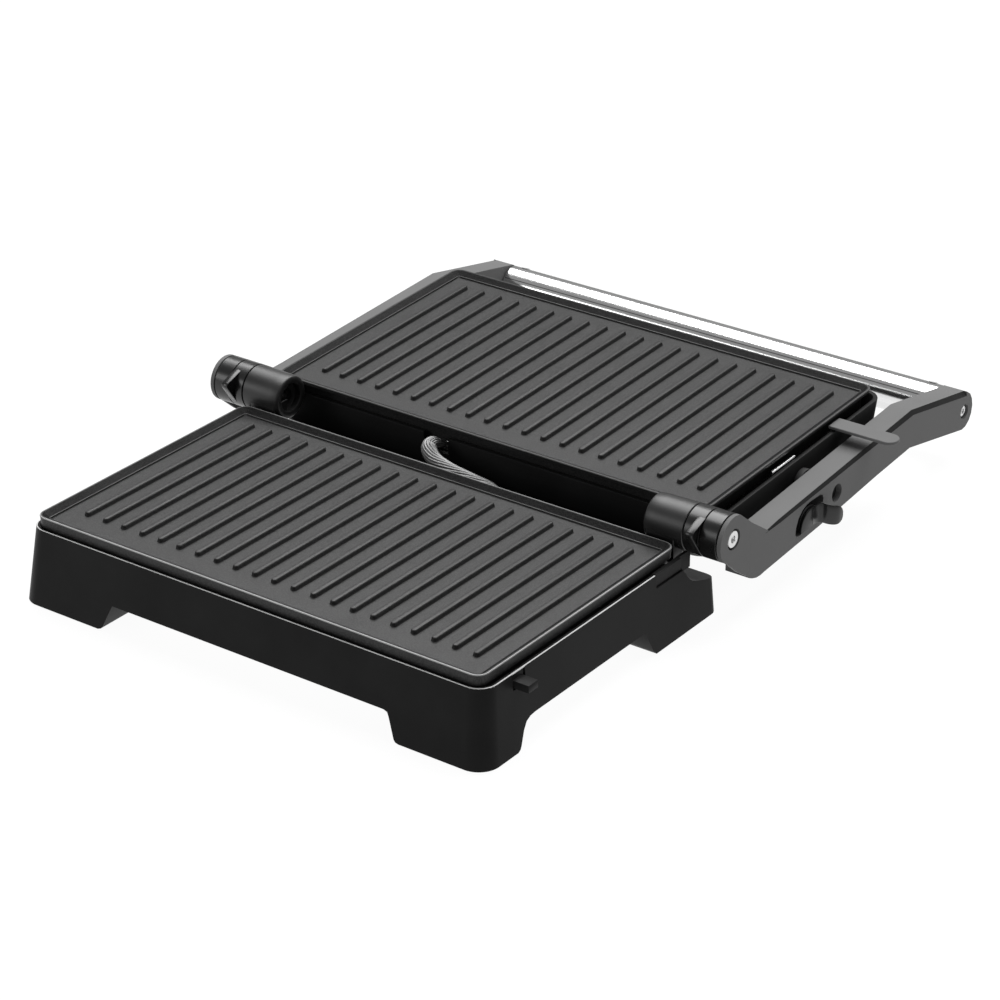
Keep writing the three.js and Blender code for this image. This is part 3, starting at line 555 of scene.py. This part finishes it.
def boolean(obj, bm, operation="DIFFERENCE"):
    """Applies one boolean to obj straight away and throws the tool away."""
    tool = bpy.data.objects.new("tool", as_mesh("tool", bm))
    bpy.context.scene.collection.objects.link(tool)
    modifier = obj.modifiers.new("boolean", "BOOLEAN")
    modifier.object = tool
    modifier.operation = operation
    modifier.solver = "EXACT"
    bpy.context.view_layer.update()
    depsgraph = bpy.context.evaluated_depsgraph_get()
    mesh = bpy.data.meshes.new_from_object(obj.evaluated_get(depsgraph))
    obj.modifiers.clear()
    obj.data = mesh
    bpy.data.objects.remove(tool)


def cut(obj, build, *args):
    bm = bmesh.new()
    build(bm, *args)
    boolean(obj, bm)


def chamfer_tool(bm):
    """Wedge that takes the chamfer off the outer top edge."""
    rings = []
    for y, z, width, drop in CHAMFER:
        x = ARM_OUT - leaning(y)
        rings.append([(x - width, y, z), (x - width, y, z + 6), (x + 6, y, z + 6),
                      (x + 6, y, z - drop), (x, y, z - drop)])
    loft(bm, rings)


def round_bore(bm, x0, x1, y, z, radius, segments):
    turned(bm, [(x0, radius), (x1, radius)], y, z, segments)


def add_arm(side):
    """Bent bar with a thinner cheek that ends in a round nose on the hinge axis."""
    bm = bmesh.new()
    outline = [(BAR_START, 30.0), (BAR_START, 49.5), (178.0, 49.4)]
    outline += ARM_TOP + ARM_END + ARM_UNDER + ARM_HEEL + [(BAR_START, 23.0)]
    add_solid(bm, outline, ARM_IN, ARM_OUT)
    obj = piece(f"arm_{side}_visual", bm, "grey_paint", "arms", [f"arm_{side}"])
    cut(obj, chamfer_tool)
    nose = bmesh.new()
    sweep = NOSE_FROM - NOSE_TO + 2 * math.pi
    outline = []
    for i in range(25):
        turn = NOSE_FROM - sweep * i / 24
        outline.append((AX_Y + NOSE_R * math.cos(turn), AX_Z + NOSE_R * math.sin(turn)))
    outline += [(172.6, 53.2), ARM_TOP[0], (196.0, 36.0), (190.0, 21.5)] + ARM_HEEL
    add_solid(nose, outline + [(161.0, 30.6)], CHEEK_IN, ARM_OUT - 0.01)
    boolean(obj, nose, "UNION")
    handle_out = ARM_OUT - leaning(HANDLE_Y)
    cut(obj, round_bore, CHEEK_IN - 3, ARM_OUT + 5, AX_Y, AX_Z, SCREW_HOLE_R, 40)
    cut(obj, round_bore, handle_out - 3.2, handle_out + 5, HANDLE_Y, HANDLE_Z, END_HOLE_R, 32)
    cut(obj, round_bore, ARM_OUT - 5, ARM_OUT + 5, PORT_Y, PORT_Z, PORT_R, 40)
    if side == "right":
        cut(obj, prism, WINDOW, ARM_IN + 3, ARM_OUT + 5)
    else:
        flip_left(obj)
    bevel_edges(obj, 0.45, 20, 2)


def flip_left(obj):
    """Mirrors a finished mesh about the middle between the arms."""
    obj.data.transform(Matrix.Translation((2 * MID_X * MM, 0, 0)) @ Matrix.Scale(-1, 4, (1, 0, 0)))
    obj.data.flip_normals()


def arm_chamfer_shade(bm):
    """Dark strip that lies in the arm's chamfer; its colour is painted shade."""
    sections = []
    for y, z, width, drop in CHAMFER:
        x, size = ARM_OUT - leaning(y), math.hypot(width, drop)
        nx, nz = drop / size, width / size
        sections.append([(px + nx * off, y, pz + nz * off) for px, pz, off in (
            (x - width, z, 0.07), (x, z - drop, 0.07), (x, z - drop, -0.5), (x - width, z, -0.5))])
    loft(bm, sections)


def arm_port(bm):
    """Dish at the bottom of the blind hole."""
    face = ARM_OUT - leaning(PORT_Y)
    turned(bm, [(face - 5.0, PORT_R), (face - 3.2, PORT_R), (face - 3.6, PORT_R * 0.8),
                (face - 4.2, PORT_R * 0.4), (face - 4.4, 0.6)], PORT_Y, PORT_Z, 40)


add_arm("right")
add_arm("left")
both_sides("arm_chamfer_shade", arm_chamfer_shade, "grey_paint", "arms", look="painted_shade_and_dark_line")
both_sides("arm_port", arm_port, "satin_black", "arms")


# ---------- handle ----------
DARK_LINE_TURN = math.radians(140)
DARK_LINE_W = 0.4
HOLE_X, HOLE_R = 136.7, 2.6
HOLE_TURN = math.radians(-22)


def handle(bm):
    """Bright tube between the arms."""
    end = ARM_IN - leaning(HANDLE_Y) - 0.5
    turned(bm, [(-end, HANDLE_R - 0.35), (-end + 0.4, HANDLE_R), (end - 0.4, HANDLE_R),
                (end, HANDLE_R - 0.35)], HANDLE_Y, HANDLE_Z, 96)


def handle_dark_line(bm):
    """Fine dark line along the tube's upper front, drawn as a thin strip."""
    end = ARM_IN - leaning(HANDLE_Y) - 1.5
    half = DARK_LINE_W / 2 / HANDLE_R
    section = [(HANDLE_R + off, DARK_LINE_TURN + turn) for off, turn in (
        (0.03, -half), (0.05, 0), (0.03, half), (-0.4, half), (-0.4, -half))]
    outline = [(HANDLE_Y + r * math.cos(t), HANDLE_Z + r * math.sin(t)) for r, t in section]
    prism(bm, outline, -end, end)


def handle_hole(bm):
    """Dark dished drain hole in the top of the tube."""
    top = HANDLE_Z + HANDLE_R
    levels = ((HOLE_R, top - 1.6), (HOLE_R, top - 0.02), (HOLE_R - 0.25, top + 0.03),
              (HOLE_R - 0.5, top - 0.1), (HOLE_R * 0.4, top - 0.5))
    loft(bm, [[(x, y, z) for x, y in circle(HOLE_X, HANDLE_Y, r, 32)] for r, z in levels])
    turn = Matrix.Rotation(HOLE_TURN, 3, "X")
    bmesh.ops.rotate(bm, verts=bm.verts, cent=(0, HANDLE_Y, HANDLE_Z), matrix=turn)


bm = bmesh.new()
handle(bm)
piece("handle_tube_visual", bm, "handle_metal", "arms", ["handle_tube"], angle=40)
bm = bmesh.new()
handle_dark_line(bm)
piece("handle_seam_visual", bm, "handle_metal", "arms", look="painted_shade_and_dark_line")
both_sides("handle_hole", handle_hole, "satin_black", "arms", look="rubber")


# ---------- wiring conduit ----------
CONDUIT_R, WIRE_DEPTH = 4.2, 0.7
CONDUIT_STEP, CONDUIT_SIDES = 0.8, 128
WIRES, TWIST = 16, 0.012  # how many wires, and the turns they make in a millimetre
TAIL, NECK, TAIL_SCALE = 5.0, 8.0, 0.42  # a thin tail at the lid, then a neck that widens
GROMMET_X, GROMMET_Z = 19.0, 28.6
ROUTE = [(-26.4, 171.0, 44.4), (-26.4, 169.0, 44.6), (-26.4, 167.0, 45.2), (-27.4, 164.0, 47.2),
         (-28.2, 160.9, 46.2), (-25.5, 158, 43.8), (-19.8, 155.8, 41), (-9.3, 154.6, 38.8),
         (3, 155.6, 36.4), (12.6, 158.4, 33), (18, 157.6, 29.6), (GROMMET_X, 153.4, GROMMET_Z),
         (GROMMET_X, 148.2, GROMMET_Z)]


def spline(points, per_span):
    """Points along a Catmull-Rom curve."""
    pts = [Vector(p) for p in points]
    pts = [2 * pts[0] - pts[1]] + pts + [2 * pts[-1] - pts[-2]]
    found = []
    for a, b, c, d in zip(pts, pts[1:], pts[2:], pts[3:]):
        for i in range(per_span):
            t = i / per_span
            found.append(0.5 * (2 * b + (c - a) * t + (2 * a - 5 * b + 4 * c - d) * t * t
                                + (3 * b - a - 3 * c + d) * t ** 3))
    found.append(pts[-2])
    return found


def even(points, step):
    """The same path with points at even distances."""
    lengths = [0.0]
    for a, b in zip(points, points[1:]):
        lengths.append(lengths[-1] + (b - a).length)
    count = max(2, round(lengths[-1] / step))
    found, k = [], 0
    for i in range(count + 1):
        want = lengths[-1] * i / count
        while k + 1 < len(lengths) - 1 and lengths[k + 1] < want:
            k += 1
        t = (want - lengths[k]) / max(1e-9, lengths[k + 1] - lengths[k])
        found.append(points[k].lerp(points[k + 1], min(1.0, t)))
    return found


def conduit(bm):
    """Sleeve of fine wires laid side by side with a slow twist, thin at the lid."""
    path = even(spline(ROUTE, 24), CONDUIT_STEP)
    side_dir = (path[1] - path[0]).orthogonal().normalized()
    rings = []
    for i, point in enumerate(path):
        ahead = path[min(i + 1, len(path) - 1)] - path[max(i - 1, 0)]
        ahead.normalize()
        side_dir = (side_dir - ahead * side_dir.dot(ahead)).normalized()
        up = ahead.cross(side_dir)
        along = i * CONDUIT_STEP
        widened = min(1.0, max(0.0, along - TAIL) / NECK)
        core = (CONDUIT_R - WIRE_DEPTH) * (TAIL_SCALE + (1 - TAIL_SCALE) * widened)
        ring = []
        for j in range(CONDUIT_SIDES):
            turn = 2 * math.pi * j / CONDUIT_SIDES
            phase = WIRES * (j / CONDUIT_SIDES + TWIST * along)
            radius = core + WIRE_DEPTH * abs(math.sin(math.pi * phase))
            ring.append(point + radius * (math.cos(turn) * side_dir + math.sin(turn) * up))
        rings.append(ring)
    loft(bm, rings)


bm = bmesh.new()
conduit(bm)
hose = piece("wiring_conduit_visual", bm, "steel", None, ["wiring_conduit"], angle=80,
             look="wire_sleeve")
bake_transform(hose)


# ---------- base housing ----------
# Outlines: (y, z) of the step in the rear rim and of the sides' arches, (x, z) of the front's.
SCOOP = [(142.0, 33.6), (144.4, 31.0), (145.6, 29.0), (147.4, 26.9), (149.8, 25.0), (153.0, 23.5),
         (157.0, 22.2), (175.0, 16.9)]
FRONT_ARCH = [(-93, -5), (-92, 0.4), (-89.8, 1.2), (-88.6, 2.6), (-83, 15), (85.2, 15),
              (87.4, 14.3), (88.3, 12.6), (92.3, 2), (93.4, 0.9), (95.6, 0.4), (96.4, -5)]
SIDE_ARCH = [(-0.6, -5), (0.4, 0.4), (2.4, 1.4), (3.4, 3), (6.2, 9.6), (8.8, 13.2), (12, 14.6),
             (16, 15), (105, 15), (107.8, 14.4), (109, 11.5), (112.6, 3.2), (115.4, 0.4),
             (116.2, -5)]
FOOT_HW, FOOT_FRONT, FOOT_Z = 144.5, -26, 0.5
RIM_HW, RIM_FRONT, RIM_Z = 140.4, -20.4, 40.5
REAR = 171.5
CAVITY_Z = 15.7
LOWER_BUTTON_Y, LOWER_BUTTON_Z = 5.8, 34.8
CORD_X, CORD_Z = -70, 25.6
PAD_X, PAD_YS, PAD_R = 118, (-8, 156), 10.3


def block(bm, x0, x1, y0, y1, z0, z1):
    prism(bm, [(y0, z0), (y1, z0), (y1, z1), (y0, z1)], x0, x1)


def along_y(bm, outline, y0, y1):
    loft(bm, [[(x, y, z) for x, z in outline] for y in (y0, y1)])


def housing_cavity(bm):
    loft(bm, [rounded(140.5, -21.5, 140.5, 9, CAVITY_Z, 8, 2),
              rounded(136.6, -16.9, 140.5, 8, 60, 8, 2)])


def add_housing():
    """Hollow body with drafted walls, open below between four feet."""
    bm = bmesh.new()
    loft(bm, [rounded(FOOT_HW, FOOT_FRONT, REAR, 11.5, FOOT_Z, 14, 7),
              rounded(RIM_HW, RIM_FRONT, REAR, 10, RIM_Z, 14, 7)])
    obj = piece("base_housing_visual", bm, "black_plastic", "base", ["base_housing"])
    cut(obj, prism, [(119, 60), (119, 33.6)] + SCOOP + [(175, 60)], -160, 160)
    cut(obj, housing_cavity)
    cut(obj, block, -82, 82, -22.9, 169, -1, CAVITY_Z)
    cut(obj, block, -141.4, 141.4, 19, 106, -1, CAVITY_Z + 0.01)
    cut(obj, along_y, FRONT_ARCH, -50, 210)
    cut(obj, prism, SIDE_ARCH, -160, 160)
    cut(obj, block, 134, 150, LOWER_BUTTON_Y - 5, LOWER_BUTTON_Y + 5, LOWER_BUTTON_Z - 2.6, 45)
    for x, z, hole_r, seat_r in ((GROMMET_X, GROMMET_Z, 6, 8.2), (CORD_X, CORD_Z, 5.3, 8)):
        cut(obj, along_y, circle(x, z, hole_r, 40), 130, 160)
        cut(obj, along_y, circle(x, z, seat_r, 40), 145, 165)
    for x in (-PAD_X, PAD_X):
        for y in PAD_YS:
            cut(obj, upright, circle(x, y, PAD_R, 40), -1, 3.4)
    bevel_edges(obj, 0.45, 28)
    smooth(obj.data)


add_housing()
# Light strip along the housing's rim: a painted highlight, not a part of the press.
bm = bmesh.new()
front_strip(bm, RIM_HW, RIM_FRONT, 118.6, 10, [(-0.04, RIM_Z - 0.4), (0.0, RIM_Z), (0.15, 40.65),
                                               (0.65, 40.65), (0.75, 40.0), (0.2, 39.9)])
piece("housing_rim_line_visual", bm, "black_plastic", "base", look="painted_highlight_edge")


# ---------- hinge pedestals ----------
def pedestal_cheek(bm):
    """Flat flange that closes the step in the rim and runs in under the fixed barrel."""
    cheek_in = 137.7
    block(bm, cheek_in, 140.25, 119.3, 141.4, 33.9, 40.7)
    prism(bm, [(140.8, 33.9), (143.0, 33.9), (145.2, 31.3), (151.5, 31.3), (151.5, 41.0),
               (140.8, 41.0)], cheek_in, 139.25)


def pedestal_leg(bm):
    """Post that carries the fixed barrel."""
    prism(bm, [(143.7, 50), (143.7, 34.5), (151, 34.5), (154.6, 42), (155, 50)], 118.0, 134.0)


both_sides("pedestal_cheek", pedestal_cheek, "black_plastic", "base", bevel=0.3)
both_sides("pedestal_leg", pedestal_leg, "satin_black", "base", bevel=0.4)


# ---------- lid shell ----------
LID_HW, LID_NEAR, LID_FAR, LID_BOTTOM = 141.5, -81.1, 84.2, -14.5
EDGE_R, CORNER_R, LID_WALL = 11.0, 16, 2.5
RIM_AT_NEAR, RIM_RISE = 12.2, 2.4 / 175.3
LAMP_XS, LAMP_Y, LAMP_R = (-9, 9), 52, 3.4


def rim_height(y):
    """The rim of the lid rises from the hinge side to the handle side."""
    return RIM_AT_NEAR + (y - LID_NEAR + 5) * RIM_RISE


def lid_ring(inset, radius, z):
    return rounded(LID_HW - inset, LID_NEAR + inset, LID_FAR - inset, radius, z, 12)


def edge_ring(i, wall):
    """Ring in the rounded lower edge, at i eighths of the quarter turn, on a skin wall deep."""
    turn = i / 8 * math.pi / 2
    inset = EDGE_R * (1 - math.sin(turn)) + wall
    z = LID_BOTTOM + EDGE_R * (1 - math.cos(turn)) + wall
    return lid_ring(inset, CORNER_R - inset * 0.6, z)


def lid_skin(bm):
    """Open shell: up the outer face, over the rim and down the inner face."""
    rings = [edge_ring(i, 0) for i in range(9)]
    for inset, drop, radius in ((0, 0.55, 9), (0.15, 0.15, 8.9), (0.5, 0, 8.6), (1.9, 0, 7.2),
                                (2.3, 0.15, 6.9), (LID_WALL, 0.6, 6.8)):
        rings.append(lid_ring(inset, radius, lambda y: rim_height(y) - drop))
    rings.append(lid_ring(LID_WALL, 13.5, LID_BOTTOM + EDGE_R + LID_WALL))
    rings += [edge_ring(i, LID_WALL) for i in range(7, -1, -1)]
    loft(bm, rings)


def conduit_notch(bm):
    block(bm, -38, -22, LID_NEAR - 4, LID_NEAR + 6, 3, 20)
    bmesh.ops.transform(bm, matrix=LID_TO_PRESS, verts=bm.verts)


def lamp_hole(bm, x):
    upright(bm, circle(x, LAMP_Y, LAMP_R, 32), LID_BOTTOM - 2, LID_BOTTOM + 5)
    bmesh.ops.transform(bm, matrix=LID_TO_PRESS, verts=bm.verts)


def barrel_rooms(bm):
    for x0, x1 in ((-148, -113.5), (113.5, 148)):
        round_bore(bm, x0, x1, AX_Y, AX_Z, BARREL_R + 1.5, 72)


bm = bmesh.new()
lid_skin(bm)
shell = piece("lid_shell_visual", bm, "black_plastic", "lid", ["lid_shell"], matrix=LID_TO_PRESS)
cut(shell, barrel_rooms)
cut(shell, conduit_notch)
for lamp_x in LAMP_XS:
    cut(shell, lamp_hole, lamp_x)
shell.data.set_sharp_from_angle(angle=math.radians(35))


# ---------- release lever ----------
HUB_R = 8.7
PLATE_Y, PLATE_Z, PLATE_R = 229.4, 28.6, 9.3
# The thumb tab: (distance out of the arm's face, y) along its curl.
TAB = [(0.4, 230.5), (0.5, 233.5), (1.3, 235.8), (3.2, 236.9), (5.8, 237.2), (8.2, 238.2),
       (9.9, 240.2), (10.7, 243.0)]
TAB_HALF, TAB_LOW, TAB_HIGH, TIP_FROM, TIP_ROUND = 0.7, 27.9, 37.0, 0.78, 3.4


def arc(y, z, radius, start, sweep, count):
    """Points of an arc, with start and sweep in half turns."""
    turns = (math.pi * (start + sweep * i / count) for i in range(count + 1))
    return [(y + radius * math.cos(turn), z + radius * math.sin(turn)) for turn in turns]


def tab_section(point, across, done):
    """Section of the tab, which widens a little, narrows again and ends round."""
    tip = max(0.0, (done - TIP_FROM) / (1 - TIP_FROM))
    rounding = TIP_ROUND * (1 - math.sqrt(max(0.0, 1 - tip ** 2)))
    low = TAB_LOW - 0.7 * done + rounding
    high = TAB_HIGH + 1.8 * min(1.0, done / 0.35) - 2.0 * max(0.0, done - 0.35) - rounding
    corners = [(1, low + 0.5), (0.6, low), (-0.6, low), (-1, low + 0.5), (-1, high - 0.5),
               (-0.6, high), (0.6, high), (1, high - 0.5)]
    return [(point.x + across.x * side, point.y + across.y * side, z) for side, z in corners]


def lever(bm):
    """Hub in the arm's recess, a D-shaped plate on it and an S-curled thumb tab."""
    face = ARM_OUT - leaning(LEVER_Y)
    hub = shrinker(arc(LEVER_Y, LEVER_Z, HUB_R, -0.06, 1.14, 28))
    loft(bm, [hub(ARM_IN + 3.4, 1.0), hub(face - 0.4, 1.0)])
    plate = arc(PLATE_Y, PLATE_Z, PLATE_R, -0.03, 1.08, 32)
    mid_z = 31.5
    loft(bm, [[(x, PLATE_Y + (y - PLATE_Y) * scale, mid_z + (z - mid_z) * scale) for y, z in plate]
              for x, scale in ((face - 0.6, 0.9), (face + 0.15, 1.0), (face + 0.75, 1.0),
                               (face + 1.0, 0.95))])
    path = spline([(face + out, y, 0) for out, y in TAB], 8)
    rings = []
    for i, point in enumerate(path):
        ahead = path[min(i + 1, len(path) - 1)] - path[max(i - 1, 0)]
        ahead.normalize()
        across = Vector((ahead.y, -ahead.x, 0)) * TAB_HALF
        rings.append(tab_section(point, across, i / (len(path) - 1)))
    loft(bm, rings)


bm = bmesh.new()
lever(bm)
piece("release_lever_visual", bm, "satin_black", "release_lever", ["hinge_release_lever"],
      angle=40)


# ---------- carried-over CAD pieces ----------
BLACKENED = ("lid_pivot_pin_left", "lid_pivot_pin_right")
for name, node in NODES.items():
    node.data.materials.clear()
    node.data.materials.append(MATERIALS["rubber" if name in BLACKENED else SLOT_OF[name]])
    weld = node.modifiers.new("weld", "WELD")
    weld.merge_threshold = 0.00001
    bevel_edges(node, 0.3, 35)
    smooth(node.data)


# ---------- stage and lights ----------
FLOOR_HALF = 6.0  # metres
WHITE = (1, 1, 1, 1)


def add_stage():
    """White floor that glows, as in a cut-out picture, and a plain white sky."""
    half = FLOOR_HALF
    corners = [(-half, -half, 0), (half, -half, 0), (half, half, 0), (-half, half, 0)]
    mesh = bpy.data.meshes.new("floor")
    mesh.from_pydata(corners, [], [(0, 1, 2, 3)])
    floor = bpy.data.objects.new("floor", mesh)
    bpy.context.scene.collection.objects.link(floor)
    material = new_material("floor", grey(0.06), 0.9, Specular_IOR_Level=0.0)
    shader = material.node_tree.nodes["Principled BSDF"]
    shader.inputs["Emission Color"].default_value = WHITE
    shader.inputs["Emission Strength"].default_value = 0.95
    mesh.materials.append(material)
    world = bpy.data.worlds.new("world")
    bpy.context.scene.world = world
    world.use_nodes = True
    background = world.node_tree.nodes["Background"]
    background.inputs["Color"].default_value = WHITE
    background.inputs["Strength"].default_value = 0.3


def add_softbox(name, at, size, power):
    """Area light at a place in metres, facing the origin."""
    data = bpy.data.lights.new(name, "AREA")
    data.shape = "RECTANGLE"
    data.size, data.size_y = size
    data.energy = power
    light = bpy.data.objects.new(name, data)
    bpy.context.scene.collection.objects.link(light)
    light.location = at
    light.rotation_euler = (-Vector(at)).to_track_quat("-Z", "Y").to_euler()


add_stage()
add_softbox("overhead", (-0.3, 0.8, 1.8), (2.4, 1.8), 95)
add_softbox("front_left", (-1.3, -1.75, 0.75), (0.9, 0.8), 9)

bpy.context.scene.view_settings.view_transform = "Standard"
